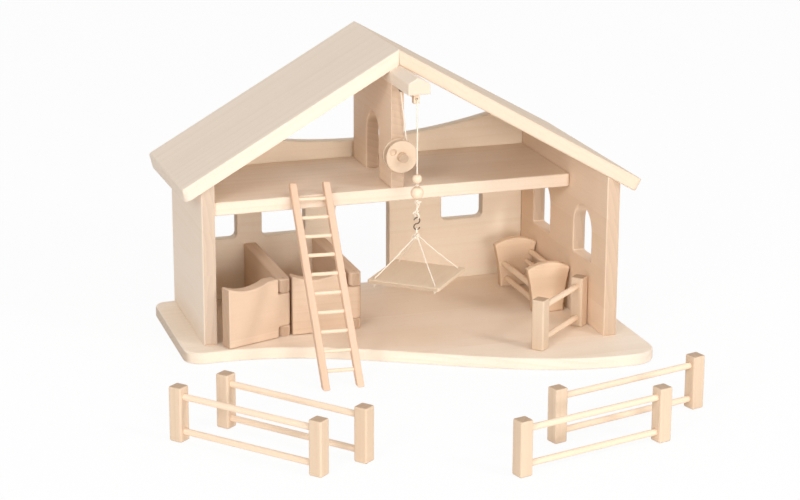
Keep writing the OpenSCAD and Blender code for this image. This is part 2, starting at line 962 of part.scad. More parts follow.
module sling_strings() {
    color(string_white)
        translate([hoist_x, drop_y, 0])
            rotate([0, 0, platform_turn])
                union() {
                    translate([0, 0, sling_knot_z])
                        sphere(r = sling_knot_r);
                    rotate([0, 0, -platform_turn])
                        string_loop(sling_loop_z, string_d);
                    for (c = sling_corners)
                        let(hole = [c[0] * sling_reach, c[1] * sling_reach, platform_top + 1]) {
                            rod([0, 0, sling_knot_z], hole, sling_d);
                            rod(hole, hole - [0, 0, platform_t + 2 + under_knot_r], sling_d);
                            translate(hole)
                                sphere(d = sling_d);
                            translate(hole - [0, 0, platform_t + 1.1 + under_knot_r])
                                sphere(r = under_knot_r);
                        }
                }
}

module lift_platform() {
    edge_r = 3;
    color(pale_wood)
        translate([hoist_x, drop_y, platform_top - platform_t])
            rotate([0, 0, platform_turn])
                difference() {
                    linear_extrude(platform_t)
                        translate([0, -platform_w / 2])
                            rounded_opening(platform_w, platform_w, edge_r);
                    for (c = sling_corners)
                        translate([c[0] * sling_reach, c[1] * sling_reach, -cut])
                            cylinder(h = platform_t + 2 * cut, d = platform_hole);
                }
}

// Ladder pieces lie along Y with the foot at the origin, then lean on the loft
module leaning() {
    translate([ladder_x, -ladder_feet, 0])
        rotate([ladder_lean, 0, 0])
            rotate([0, 0, -ladder_tilt])
                children();
}

module ladder_rail_board(side) {
    difference() {
        leaning()
            difference() {
                translate([side * ladder_w / 2, 0, 0])
                    union() {
                        along_x(-ladder_rail / 2, ladder_rail)
                            union() {
                                translate([-ladder_rail, -ladder_rail / 2])
                                    square([ladder_len, ladder_rail]);
                                translate([ladder_len - ladder_rail, 0])
                                    circle(d = ladder_rail);
                            }
                    }
                for (i = [0:rung_count - 1])
                    translate([side * (ladder_w / 2 + ladder_rail / 2 - rung_bore),
                               rung_first + i * rung_pitch, 0])
                        rotate([0, -side * 90, 0])
                            cylinder(h = ladder_rail, d = rung_d + 2 * fit);
            }
        translate([ladder_x - ladder_w, -ladder_feet - ladder_w, -2 * ladder_rail])
            cube([2 * ladder_w, 2 * ladder_w, 2 * ladder_rail]);
    }
}

module ladder_left_rail() {
    color(dowel_wood)
        ladder_rail_board(-1);
}

module ladder_right_rail() {
    color(dowel_wood)
        ladder_rail_board(1);
}

module ladder_rungs() {
    rung_half = ladder_w / 2 + ladder_rail / 2 - rung_bore - 0.2;
    color(dowel_wood)
        leaning()
            for (i = [0:rung_count - 1])
                translate([-rung_half, rung_first + i * rung_pitch, 0])
                    rotate([0, 90, 0])
                        cylinder(h = 2 * rung_half, d = rung_d);
}

// Outline of a manger end board: drawn-in sides and an arched top
function manger_side(side) = [
    for (i = [0:side_steps])
        let(s = i / side_steps,
            half = (manger_bottom_w + (manger_top_w - manger_bottom_w) * s) / 2)
        [side * (half - manger_side_curve * sin(180 * s)), manger_side_h * s]
];
manger_arch_a = asin(manger_top_w / 2 / manger_arch_r);
manger_outline = concat(
    manger_side(1),
    arc([0, manger_h - manger_arch_r], manger_arch_r, 90 - manger_arch_a, 90 + manger_arch_a, 12),
    [for (i = [side_steps:-1:0]) manger_side(-1)[i]]
);

module manger_end(y, bore_y) {
    difference() {
        translate([manger_x, 0, base_t])
            along_y(y, manger_t)
                polygon(manger_outline);
        for (p = manger_rail_places)
            translate([manger_x + p[0], bore_y, base_t + p[1]])
                y_cylinder(manger_bore + cut, manger_rail_d + 2 * fit);
    }
}

manger_back_y = manger_y + manger_len - manger_t;

module manger_front_end() {
    color(inner_wood)
        manger_end(manger_y, manger_y + manger_t - manger_bore);
}

module manger_back_end() {
    color(inner_wood)
        manger_end(manger_back_y, manger_back_y - cut);
}

module manger_rails() {
    start = manger_y + manger_t - manger_bore + 0.2;
    color(dowel_wood)
        for (p = manger_rail_places)
            translate([manger_x + p[0], start, base_t + p[1]])
                y_cylinder(manger_back_y + manger_bore - 0.2 - start, manger_rail_d);
}

// Fence pieces: f is place, turn and distance between the posts
module at_fence(f) {
    translate(f[0])
        rotate([0, 0, f[1]])
            children();
}

module fence_post(f, side) {
    edge_r = 2.5;
    color(pale_wood)
        at_fence(f)
            translate([side * f[2], 0, 0])
                difference() {
                    linear_extrude(post_h)
                        translate([0, -post_w / 2])
                            rounded_opening(post_w, post_w, edge_r);
                    for (z = [rail_low, rail_high])
                        translate([(1 - 2 * side) * (post_w / 2 - rail_bore), 0, z])
                            rotate([0, 90 - side * 180, 0])
                                cylinder(h = post_w, d = rail_d + 2 * fit);
                }
}

module fence_rails(f) {
    start = post_w / 2 - rail_bore + 0.2;
    color(dowel_wood)
        at_fence(f)
            for (z = [rail_low, rail_high])
                translate([start, 0, z])
                    rotate([0, 90, 0])
                        cylinder(h = f[2] - 2 * start, d = rail_d);
}

echo(winding_gap = winding_gap);

base_board();
base_screws();
left_wall();
right_wall();
back_wall();
loft_floor();
loft_divider();
roof_left();
roof_right();
hoist_arm();
string_block();
string_eye();
hoist_string();
partition_left();
partition_right();
hinge_pin_left();
hinge_pin_right();
stall_door_left();
stall_door_right();
winch_front_flange();
winch_back_flange();
winch_hub();
winch_axle();
string_winding();
drop_string();
small_bead();
large_bead();
bead_cord();
lift_hook();
sling_strings();
lift_platform();
ladder_left_rail();
ladder_right_rail();
ladder_rungs();
manger_front_end();
manger_back_end();
manger_rails();
fence_post(inner_fence, 0);  // inner_fence_left_post
fence_post(inner_fence, 1);  // inner_fence_right_post
fence_rails(inner_fence);  // inner_fence_rails
fence_post(fence_one, 0);  // fence_one_left_post
fence_post(fence_one, 1);  // fence_one_right_post
fence_rails(fence_one);  // fence_one_rails
fence_post(fence_two, 0);  // fence_two_left_post
fence_post(fence_two, 1);  // fence_two_right_post
fence_rails(fence_two);  // fence_two_rails
fence_post(fence_three, 0);  // fence_three_left_post
fence_post(fence_three, 1);  // fence_three_right_post
fence_rails(fence_three);  // fence_three_rails
fence_post(fence_four, 0);  // fence_four_left_post
fence_post(fence_four, 1);  // fence_four_right_post
fence_rails(fence_four);  // fence_four_rails
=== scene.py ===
import json
import math

import bmesh
import bpy
import numpy as np
from mathutils import Matrix, Vector


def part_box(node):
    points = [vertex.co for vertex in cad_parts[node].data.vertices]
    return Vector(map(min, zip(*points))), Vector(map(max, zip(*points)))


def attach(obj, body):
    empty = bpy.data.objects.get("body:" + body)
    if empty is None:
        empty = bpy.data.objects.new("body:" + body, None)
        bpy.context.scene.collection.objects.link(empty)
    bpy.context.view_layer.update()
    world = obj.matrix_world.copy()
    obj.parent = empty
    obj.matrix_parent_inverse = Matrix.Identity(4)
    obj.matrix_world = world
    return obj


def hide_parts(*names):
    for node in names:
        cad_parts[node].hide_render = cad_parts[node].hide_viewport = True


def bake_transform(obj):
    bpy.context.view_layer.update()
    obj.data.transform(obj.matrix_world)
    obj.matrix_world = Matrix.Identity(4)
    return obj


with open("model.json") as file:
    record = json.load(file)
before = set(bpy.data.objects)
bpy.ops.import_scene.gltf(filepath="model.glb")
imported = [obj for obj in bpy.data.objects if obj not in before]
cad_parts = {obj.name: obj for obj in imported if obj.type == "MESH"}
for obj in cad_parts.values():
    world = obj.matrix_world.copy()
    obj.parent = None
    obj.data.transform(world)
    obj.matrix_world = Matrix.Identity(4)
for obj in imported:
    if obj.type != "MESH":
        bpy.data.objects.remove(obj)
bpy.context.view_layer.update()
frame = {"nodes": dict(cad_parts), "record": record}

MM = 0.001
scene = bpy.context.scene
nodes = frame["nodes"]
body_of_node = {
    node: body
    for body, members in frame["record"]["behaviour"]["bodies"].items()
    for node in members
}


# Camera: where the photograph was taken from

CAMERA_PLACE = (-0.94610, -2.87645, 1.03548)
LOOK_DOWN = math.radians(16.75)
LOOK_RIGHT = math.radians(18.27)
CAMERA_ROLL = math.radians(-0.18)
LENS = 106.04


def place_camera():
    """Camera axes from its turn about Z, its tilt and its small roll."""
    right = Vector((math.cos(LOOK_RIGHT), -math.sin(LOOK_RIGHT), 0))
    ahead = Vector((math.sin(LOOK_RIGHT), math.cos(LOOK_RIGHT), 0))
    skyward = Vector((0, 0, 1))
    view = ahead * math.cos(LOOK_DOWN) - skyward * math.sin(LOOK_DOWN)
    up = ahead * math.sin(LOOK_DOWN) + skyward * math.cos(LOOK_DOWN)
    rolled_right = right * math.cos(CAMERA_ROLL) - up * math.sin(CAMERA_ROLL)
    rolled_up = right * math.sin(CAMERA_ROLL) + up * math.cos(CAMERA_ROLL)
    data = bpy.data.cameras.new("camera")
    data.sensor_width = 36
    data.lens = LENS
    data.clip_start = 0.05
    data.clip_end = 50
    camera = bpy.data.objects.new("camera", data)
    axes = Matrix((rolled_right, rolled_up, -view)).transposed()
    camera.matrix_world = Matrix.Translation(CAMERA_PLACE) @ axes.to_4x4()
    scene.collection.objects.link(camera)
    scene.camera = camera


place_camera()


# Colours and finishes


def linear(red, green, blue):
    """Linear colour of a screen colour from 0 to 255."""
    screen = np.array([red, green, blue]) / 255
    low = screen / 12.92
    high = ((screen + 0.055) / 1.055) ** 2.4
    return [*np.where(screen <= 0.04045, low, high).tolist(), 1.0]


# Wood of each kind of board: its main tone, which for some boards holds painted light or shade, and how far
# its grain darkens it
PALE = (242, 223, 203)
ROOF = (239, 222, 204)
ROOF_RIGHT = (227, 205, 181)
BASE = (245, 228, 209)
# Back wall: lighter than the other boards, painted light for the shaded inside of the house
LIT_BACK = (251, 233, 212)
# Right wall and divider: darker and more saturated, painted shade of their sides that face away from the key
# lamp
SHADED_SIDE = (241, 216, 191)
# Stall partitions and doors: darker and warmer, painted shade of the stalls under the loft
SHADED_STALL = (226, 198, 172)
MANGER = (243, 215, 186)
POST = (221, 196, 170)
LADDER = (229, 195, 168)
DRUM = (222, 197, 171)
TURNED = (241, 216, 190)
PLATFORM = (229, 206, 180)
GRAIN_TONE = (0.900, 0.845, 0.770)
END_TONE = (0.60, 0.53, 0.48)


def new_finish(name):
    """Empty node material with its shader and output."""
    finish = bpy.data.materials.new(name)
    finish.use_nodes = True
    tree = finish.node_tree
    return finish, tree, tree.nodes["Principled BSDF"]


def add(tree, kind, inputs=(), **settings):
    """One shader node with its settings, and its inputs as values or links."""
    node = tree.nodes.new(kind)
    for key, value in settings.items():
        setattr(node, key, value)
    for key, value in dict(inputs).items():
        if isinstance(value, bpy.types.NodeSocket):
            tree.links.new(value, node.inputs[key])
        else:
            node.inputs[key].default_value = value
    return node


def mixed(tree, share, first, second):
    """Colour between two colours."""
    node = add(tree, "ShaderNodeMix", data_type="RGBA")
    for socket, value in ((node.inputs["Factor"], share), (node.inputs[6], first), (node.inputs[7], second)):
        if isinstance(value, bpy.types.NodeSocket):
            tree.links.new(value, socket)
        else:
            socket.default_value = value
    return node.outputs[2]


def maths(tree, operation, first, second=0.0, third=0.0):
    return add(tree, "ShaderNodeMath", {0: first, 1: second, 2: third}, operation=operation).outputs[0]


def span(tree, value, low, high, to_low=0.0, to_high=1.0):
    """Value stretched from one span to another, and held there."""
    return add(
        tree,
        "ShaderNodeMapRange",
        {"Value": value, "From Min": low, "From Max": high, "To Min": to_low, "To Max": to_high},
        interpolation_type="SMOOTHSTEP",
    ).outputs["Result"]


def scaled(tree, vector, factors):
    """Vector stretched along its axes."""
    return add(tree, "ShaderNodeVectorMath", {0: vector, 1: factors}, operation="MULTIPLY").outputs[0]


def wood_finish(name, tone, grain, face, seed, stave=0.062, rings=0.0085, figure=0.7, ends=1.0):
    """Sanded, unvarnished pale wood.

    Object coordinates are turned so that X runs along the grain and Z out of the board's face.
    Growth rings lie round a far pith, fine flecks run along the grain, and ends are darker.
    """
    along = Vector(grain).normalized()
    out = Vector(face)
    out = (out - along * out.dot(along)).normalized()
    across = out.cross(along)
    turn = Matrix((along, across, out))
    finish, tree, shader = new_finish(name)
    source = add(tree, "ShaderNodeTexCoord")
    rng = np.random.default_rng(seed)
    shift = rng.uniform(-0.4, 0.4, 3)
    place = add(
        tree,
        "ShaderNodeMapping",
        {"Vector": source.outputs["Object"], "Rotation": turn.to_euler("XYZ"), "Location": shift.tolist()},
    ).outputs[0]
    parts = add(tree, "ShaderNodeSeparateXYZ", {0: place})
    stave_at = maths(tree, "FLOOR", maths(tree, "DIVIDE", parts.outputs["Y"], stave))
    stave_tone = add(tree, "ShaderNodeTexWhiteNoise", {"W": stave_at}, noise_dimensions="1D").outputs["Value"]
    lengthened = add(
        tree,
        "ShaderNodeCombineXYZ",
        {
            0: maths(tree, "ADD", maths(tree, "MULTIPLY", parts.outputs["X"], 0.10),
                     maths(tree, "MULTIPLY", stave_tone, 3.0)),
            1: parts.outputs["Y"],
            2: maths(tree, "ADD", parts.outputs["Z"], 0.55),
        },
    ).outputs[0]
    ring = add(
        tree,
        "ShaderNodeTexWave",
        {
            "Vector": lengthened,
            "Scale": 2 * math.pi / 20 / rings,
            "Distortion": 11.0,
            "Detail": 2.5,
            "Detail Scale": 0.20,
            "Detail Roughness": 0.55,
        },
        wave_type="RINGS",
        rings_direction="X",
        wave_profile="SAW",
    ).outputs["Fac"]
    cloud = add(
        tree, "ShaderNodeTexNoise", {"Vector": lengthened, "Scale": 13.0, "Detail": 3.0, "Roughness": 0.6}
    ).outputs["Fac"]
    curl = add(
        tree,
        "ShaderNodeTexNoise",
        {"Vector": scaled(tree, place, (95.0, 26.0, 26.0)), "Scale": 1.0, "Detail": 2.0, "Roughness": 0.5},
    ).outputs["Fac"]
    streak = add(
        tree,
        "ShaderNodeTexNoise",
        {"Vector": scaled(tree, place, (12.0, 380.0, 380.0)), "Scale": 1.0, "Detail": 3.0, "Roughness": 0.65},
    ).outputs["Fac"]
    fleck = add(
        tree,
        "ShaderNodeTexNoise",
        {"Vector": scaled(tree, place, (420.0, 2600.0, 2600.0)), "Scale": 1.0, "Detail": 1.0},
    ).outputs["Fac"]
    fleck_mark = span(tree, fleck, 0.61, 0.74)
    main = np.array(linear(*tone))
    dark = [*(main[:3] * GRAIN_TONE).tolist(), 1.0]
    end = [*(main[:3] * END_TONE).tolist(), 1.0]
    light = [*np.clip(main[:3] * (1.03, 1.035, 1.045), 0, 0.95).tolist(), 1.0]
    main = main.tolist()
    colour = mixed(tree, span(tree, cloud, 0.30, 0.72), main, light)
    stave_share = span(tree, stave_tone, 0.0, 1.0, 0.0, 0.42 * figure)
    colour = mixed(tree, stave_share, colour, dark)
    colour = mixed(tree, span(tree, curl, 0.45, 0.75, 0.0, 0.30 * figure), colour, light)
    ring_share = maths(
        tree,
        "MULTIPLY",
        span(tree, ring, 0.40, 1.0, 0.0, 0.55 * figure),
        span(tree, cloud, 0.35, 0.70, 0.15, 1.0),
    )
    colour = mixed(tree, ring_share, colour, dark)
    colour = mixed(tree, span(tree, streak, 0.50, 0.82, 0.0, 0.50 * figure), colour, dark)
    pore = [*(np.array(dark[:3]) * (0.84, 0.78, 0.70)).tolist(), 1.0]
    colour = mixed(tree, maths(tree, "MULTIPLY", fleck_mark, 0.34), colour, pore)
    towards = add(
        tree, "ShaderNodeVectorMath", {0: source.outputs["Normal"], 1: along}, operation="DOT_PRODUCT"
    ).outputs["Value"]
    end_share = span(tree, maths(tree, "ABSOLUTE", towards), 0.72, 0.97, 0.0, 0.80 * ends)
    end_colour = mixed(tree, maths(tree, "MULTIPLY", ring, 0.5), end, mixed(tree, 0.5, end, dark))
    colour = mixed(tree, end_share, colour, end_colour)
    tree.links.new(colour, shader.inputs["Base Color"])
    rough = span(tree, streak, 0.3, 0.8, 0.52, 0.66)
    tree.links.new(rough, shader.inputs["Roughness"])
    shader.inputs["Specular IOR Level"].default_value = 0.32
    streak_depth = maths(tree, "MULTIPLY", streak, -0.5)
    height = maths(tree, "ADD", streak_depth, maths(tree, "MULTIPLY", fleck_mark, -0.6))
    bump = add(tree, "ShaderNodeBump", {"Strength": 0.20, "Distance": 0.00022, "Height": height})
    tree.links.new(bump.outputs[0], shader.inputs["Normal"])
    return finish


def string_finish():
    """Twisted cotton: pale strands, with painted shade darkening the valleys between them, and fine fibres
    across.
    """
    finish, tree, shader = new_finish("cotton_string")
    valley = add(tree, "ShaderNodeAttribute", attribute_name="valley").outputs["Fac"]
    source = add(tree, "ShaderNodeTexCoord")
    finely = scaled(tree, source.outputs["Object"], (5200.0, 5200.0, 1700.0))
    fibre = add(tree, "ShaderNodeTexNoise", {"Vector": finely, "Scale": 1.0, "Detail": 2.0}).outputs["Fac"]
    # Painted shade: the colour darkens in the valleys between strands
    colour = mixed(tree, valley, linear(250, 238, 222), linear(204, 178, 150))
    colour = mixed(tree, span(tree, fibre, 0.45, 0.75, 0.0, 0.35), colour, linear(228, 206, 180))
    tree.links.new(colour, shader.inputs["Base Color"])
    shader.inputs["Roughness"].default_value = 0.88
    shader.inputs["Sheen Weight"].default_value = 0.25
    shader.inputs["Specular IOR Level"].default_value = 0.2
    bump = add(tree, "ShaderNodeBump", {"Strength": 0.4, "Distance": 0.0001, "Height": fibre})
    tree.links.new(bump.outputs[0], shader.inputs["Normal"])
    return finish


def steel_finish():
    """Dull grey steel wire with fine drawing marks and a little darkening."""
    finish, tree, shader = new_finish("steel_fitting")
    source = add(tree, "ShaderNodeTexCoord")
    marks = add(
        tree, "ShaderNodeTexNoise", {"Vector": source.outputs["Object"], "Scale": 900.0, "Detail": 3.0}
    ).outputs["Fac"]
    tree.links.new(mixed(tree, marks, linear(84, 72, 62), linear(122, 108, 96)), shader.inputs["Base Color"])
    tree.links.new(span(tree, marks, 0.3, 0.7, 0.32, 0.5), shader.inputs["Roughness"])
    shader.inputs["Metallic"].default_value = 1.0
    bump = add(tree, "ShaderNodeBump", {"Strength": 0.1, "Distance": 0.00005, "Height": marks})
    tree.links.new(bump.outputs[0], shader.inputs["Normal"])
    return finish


COTTON = string_finish()
STEEL = steel_finish()


def dress(piece, finish):
    piece.data.materials.clear()
    piece.data.materials.append(finish)
    return piece


def stand_in(piece, node, finish):
    """The piece takes the place of a CAD node: its body and its finish."""
    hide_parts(node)
    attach(piece, body_of_node[node])
    return dress(piece, finish)


# Rounded boards


SMALL_BORE = 13 * MM
# Corners closer than this are one corner, and edges that turn more than this are rounded
CLOSE = 0.02 * MM
SHARP_TURN = math.radians(28)


def edge_weights(work, bore_weight, left_sharp):
    """Weight of each edge's rounding: full on a board, bore_weight round a bore, none where left_sharp holds.

    Edges that turn more than SHARP_TURN are rounded. A bore is a chain of such edges that stays within
    a box of SMALL_BORE.
    """
    weights = work.edges.layers.float.new("bevel_weight_edge")
    sharp = [edge for edge in work.edges if edge.is_manifold and edge.calc_face_angle(0) > SHARP_TURN]
    chain_of = {}

    def chain_end(vertex):
        while chain_of.setdefault(vertex, vertex) != vertex:
            vertex = chain_of[vertex]
        return vertex

    for edge in sharp:
        chain_of[chain_end(edge.verts[0])] = chain_end(edge.verts[1])
    chains = {}
    for edge in sharp:
        chains.setdefault(chain_end(edge.verts[0]), []).append(edge)
    for chain in chains.values():
        points = np.array([vertex.co for edge in chain for vertex in edge.verts])
        size = np.ptp(points, axis=0).max()
        for edge in chain:
            edge[weights] = bore_weight if size < SMALL_BORE else 1.0
            if left_sharp and all(left_sharp(vertex.co) for vertex in edge.verts):
                edge[weights] = 0.0


def softened(node, radius, steps=3, bore_weight=0.12, left_sharp=None, merge=CLOSE):
    """Copy of a CAD solid with its sharp edges rounded over. Corners closer than merge become one."""
    mesh = nodes[node].data.copy()
    mesh.name = node + "_softened"
    work = bmesh.new()
    work.from_mesh(mesh)
    bmesh.ops.remove_doubles(work, verts=work.verts, dist=merge)
    bmesh.ops.dissolve_limit(
        work, angle_limit=math.radians(0.4), verts=work.verts, edges=work.edges, use_dissolve_boundaries=False
    )
    work.normal_update()
    edge_weights(work, bore_weight, left_sharp)
    work.to_mesh(mesh)
    work.free()
    piece = bpy.data.objects.new(node + "_softened", mesh)
    scene.collection.objects.link(piece)
    bevel = piece.modifiers.new("rounded edges", "BEVEL")
    bevel.width = radius
    bevel.segments = steps
    bevel.limit_method = "WEIGHT"
    bevel.use_clamp_overlap = False
    bevel.miter_outer = "MITER_ARC"
    bevel.harden_normals = False
    mesh.polygons.foreach_set("use_smooth", np.ones(len(mesh.polygons), bool))
    mesh.set_sharp_from_angle(angle=math.radians(40))
    return piece


def turned(degrees):
    """Level direction turned from +X towards +Y."""
    angle = math.radians(degrees)
    return Vector((math.cos(angle), math.sin(angle), 0))


def left_crisp(place):
    """At the ridge, where the roof boards meet flush, and at the foot of the slanted eave cut."""
    return abs(place.x) < 0.2 * MM or (place.x < -279 * MM and place.z < 220 * MM)


UP = Vector((0, 0, 1))
PITCH = math.radians(29.5)
SPLAY = math.radians(1.8)
LEAN = math.radians(51.6)
TILT = math.radians(1.6)
DOOR_TURN = 19.5
PLATFORM_TURN = 50
FENCE_TURNS = {
    "inner_fence": 41.8,
    "fence_one": -50.8,
    "fence_two": -51.6,
    "fence_three": 14.7,
    "fence_four": 15.4,
}
ladder_way = Vector((math.sin(TILT), math.cos(LEAN) * math.cos(TILT), math.sin(LEAN) * math.cos(TILT)))
ladder_face = Vector((0, -math.sin(LEAN), math.cos(LEAN)))
left_slope, left_top = (math.cos(PITCH), 0, math.sin(PITCH)), (-math.sin(PITCH), 0, math.cos(PITCH))
right_slope, right_top = (math.cos(PITCH), 0, -math.sin(PITCH)), (math.sin(PITCH), 0, math.cos(PITCH))

# Each board: tone, grain, face, radius of its rounded edges in mm
BOARDS = {
    "base_board": (BASE, (1, 0, 0), UP, 2.4),
    "left_wall": (PALE, (math.sin(SPLAY), math.cos(SPLAY), 0), (1, 0, 0), 2.0),
    "right_wall": (SHADED_SIDE, (0, 1, 0), (1, 0, 0), 2.0),
    "back_wall": (LIT_BACK, (1, 0, 0), (0, 1, 0), 2.0),
    "loft_floor": (PALE, (1, 0, 0), UP, 2.0),
    "loft_divider": (SHADED_SIDE, (0, 1, 0), (1, 0, 0), 1.8),
    "roof_left": (ROOF, left_slope, left_top, 2.2),
    "roof_right": (ROOF_RIGHT, right_slope, right_top, 2.2),
    "hoist_arm": (PALE, (0, 1, 0), UP, 1.5),
    "string_block": (TURNED, (1, 0, 0), UP, 0.8),
    "partition_left": (SHADED_STALL, (0, 1, 0), (1, 0, 0), 2.0),
    "partition_right": (SHADED_STALL, (0, 1, 0), (1, 0, 0), 2.0),
    "stall_door_left": (SHADED_STALL, turned(DOOR_TURN), turned(DOOR_TURN + 90), 1.8),
    "stall_door_right": (SHADED_STALL, (1, 0, 0), (0, 1, 0), 1.8),
    "winch_front_flange": (DRUM, (1, 0, 0), (0, 1, 0), 1.4),
    "winch_back_flange": (DRUM, (0.9, 0, 0.4), (0, 1, 0), 1.2),
    "winch_axle": (DRUM, (0, 1, 0), UP, 1.2),
    "lift_platform": (PLATFORM, turned(PLATFORM_TURN), UP, 1.0),
    "ladder_left_rail": (LADDER, ladder_way, ladder_face, 1.4),
    "ladder_right_rail": (LADDER, ladder_way, ladder_face, 1.4),
    "manger_front_end": (MANGER, (1, 0, 0), (0, 1, 0), 2.0),
    "manger_back_end": (MANGER, (1, 0, 0), (0, 1, 0), 2.0),
}
# Each turned piece: grain and face
RODS = {
    "winch_hub": ((0, 1, 0), UP),
    "hinge_pin_left": (UP, (0, 1, 0)),
    "hinge_pin_right": (UP, (0, 1, 0)),
    "ladder_rungs": ((1, 0, 0), UP),
    "manger_rails": ((0, 1, 0), UP),
}
for fence, degrees in FENCE_TURNS.items():
    RODS[fence + "_rails"] = (turned(degrees), UP)
    for side in ("_left_post", "_right_post"):
        BOARDS[fence + side] = (POST, UP, turned(degrees), 1.8)
# Round edges of the flange's finger dimple and of the bores
BORE_WEIGHTS = {"winch_front_flange": 0.9, "lift_platform": 0.3, "string_block": 0.4}
# How strongly the end grain shows, where it is not plain end grain
END_SHARES = {"roof_left": 0.2, "roof_right": 0.35, "hoist_arm": 0.45, "loft_floor": 0.6}
# Reach within which corners are merged, where the eave's slanted cut leaves slivers
MERGES = {"roof_left": 1.0 * MM}

for number, (node, (tone, grain, face, radius)) in enumerate(BOARDS.items()):
    board = softened(
        node,
        radius * MM,
        bore_weight=BORE_WEIGHTS.get(node, 0.12),
        left_sharp=left_crisp if node.startswith("roof") else None,
        merge=MERGES.get(node, CLOSE),
    )
    board_wood = wood_finish(node + "_wood", tone, grain, face, 100 + number, ends=END_SHARES.get(node, 1.0))
    stand_in(board, node, board_wood)
for number, (node, (grain, face)) in enumerate(RODS.items()):
    rod_wood = wood_finish(node + "_wood", TURNED, grain, face, 200 + number, stave=0.5, rings=0.004)
    stand_in(softened(node, 0.5 * MM, steps=2, bore_weight=1.0), node, rod_wood)


# Surfaces of turned pieces, strings and wire


def surface(name, grids):
    """One mesh of several grids of points.

    Rows of a grid follow its path or profile, and its columns go round and close on themselves. A row of
    equal points closes an end. The fourth number of a point is how deep it lies between two strands.
    """
    points = np.concatenate([grid.reshape(-1, 4) for grid in grids])
    starts = np.cumsum([0] + [grid.shape[0] * grid.shape[1] for grid in grids])
    faces = []
    for grid, start in zip(grids, starts):
        place = np.arange(grid.shape[0] * grid.shape[1]).reshape(grid.shape[:2]) + start
        beside = np.roll(place, -1, axis=1)
        faces.append(np.stack([place[:-1], beside[:-1], beside[1:], place[1:]], axis=-1).reshape(-1, 4))
    mesh = bpy.data.meshes.new(name)
    mesh.from_pydata(points[:, :3].tolist(), [], np.concatenate(faces).tolist())
    # Depth between strands, kept for the painted shade of the string
    mesh.attributes.new("valley", "FLOAT", "POINT").data.foreach_set("value", points[:, 3].astype(np.float32))
    work = bmesh.new()
    work.from_mesh(mesh)
    bmesh.ops.remove_doubles(work, verts=work.verts, dist=1e-7)
    work.to_mesh(mesh)
    work.free()
    mesh.polygons.foreach_set("use_smooth", np.ones(len(mesh.polygons), bool))
    piece = bpy.data.objects.new(name, mesh)
    scene.collection.objects.link(piece)
    return piece


def unit(vectors):
    return vectors / np.linalg.norm(vectors, axis=-1, keepdims=True)


def route(points, step=0.4 * MM, rounding=2.0 * MM):
    """Even steps along straight runs, with the corners rounded by a moving mean of the given length."""
    points = np.array(points, float)
    run = np.concatenate([[0], np.cumsum(np.linalg.norm(np.diff(points, axis=0), axis=1))])
    count = max(int(run[-1] / step), 8)
    at = np.linspace(0, run[-1], count + 1)
    even = np.stack([np.interp(at, run, points[:, axis]) for axis in range(3)], axis=1)
    half = min(max(int(rounding / step / 2), 1), count // 2)
    longer = np.pad(even, ((half, half), (0, 0)), mode="reflect", reflect_type="odd")
    kernel = np.ones(2 * half + 1) / (2 * half + 1)
    return np.stack([np.convolve(longer[:, axis], kernel, mode="valid") for axis in range(3)], axis=1)


def carried(path, side, radius, around, strands=0, lay=1.0, closed=False):
    """A round or stranded outline carried along a path.

    Across the path the outline is a circle. With strands it is drawn in between them, to 0.74 of the
    radius plus 0.26 times |cos| of half the strands' angle, and turns once in each length of lay. The
    ends round off as the square root of the way in.
    """
    steps = np.roll(path, -1, axis=0) - np.roll(path, 1, axis=0) if closed else np.gradient(path, axis=0)
    ahead = unit(steps)
    side = np.broadcast_to(np.asarray(side, float), path.shape)
    side = unit(side - ahead * (side * ahead).sum(axis=1, keepdims=True))
    up = np.cross(ahead, side)
    gone = np.concatenate([[0], np.cumsum(np.linalg.norm(np.diff(path, axis=0), axis=1))])
    angle = np.linspace(0, 2 * np.pi, around, endpoint=False)[None, :]
    bulge = np.ones((len(path), around))
    if strands:
        twist = 2 * np.pi * gone[:, None] / lay
        bulge = np.abs(np.cos(strands / 2 * (angle - twist)))
    size = radius * (0.74 + 0.26 * bulge ** 0.8)
    if not closed:
        inward = np.minimum(gone, gone[-1] - gone) / (0.7 * radius)
        size = size * np.sqrt(np.clip(inward, 0, 1))[:, None]
    ring = np.cos(angle)[..., None] * side[:, None] + np.sin(angle)[..., None] * up[:, None]
    points = path[:, None] + size[..., None] * ring
    # How deep each point lies between strands, which the string's finish paints as shade
    valley = (1 - bulge)[..., None] ** 2
    grid = np.concatenate([points, valley], axis=-1)
    return np.concatenate([grid, grid[:1]]) if closed else grid


def string(path, side, diameter, closed=False):
    """Three-strand string, laid once in three diameters."""
    return carried(path, side, diameter / 2, 24, strands=3, lay=3 * diameter, closed=closed)


def knot(place, size, diameter, axis=(0, 0, 1), turn=0.0):
    """Overhand knot drawn tight: a string wound three times through and twice round a ring.

    Its middle line is (R + r cos 3t) round the axis at angle 2t, and r sin 3t along it.
    """
    t = np.linspace(0, 2 * np.pi, 150, endpoint=False)
    tube = size * 0.30
    core = size - tube - diameter / 2
    along = unit(np.array(axis, float))
    first = unit(np.cross(along, (0.31, 0.94, 0.12)))
    second = np.cross(along, first)
    spoke = np.cos(2 * t + turn)[:, None] * first + np.sin(2 * t + turn)[:, None] * second
    out = np.cos(3 * t)[:, None] * spoke + np.sin(3 * t)[:, None] * along
    path = np.array(place) + core * spoke + tube * out
    return string(path, out, diameter, closed=True)


def loop(place, radius, diameter, normal=(1, 0, 0)):
    """Ring of string in the plane across the normal."""
    t = np.linspace(0, 2 * np.pi, 90, endpoint=False)
    across = unit(np.array(normal, float))
    first = unit(np.cross(across, (0, 0, 1.0)))
    second = np.cross(across, first)
    out = np.cos(t)[:, None] * first + np.sin(t)[:, None] * second
    return string(np.array(place) + radius * out, out, diameter, closed=True)


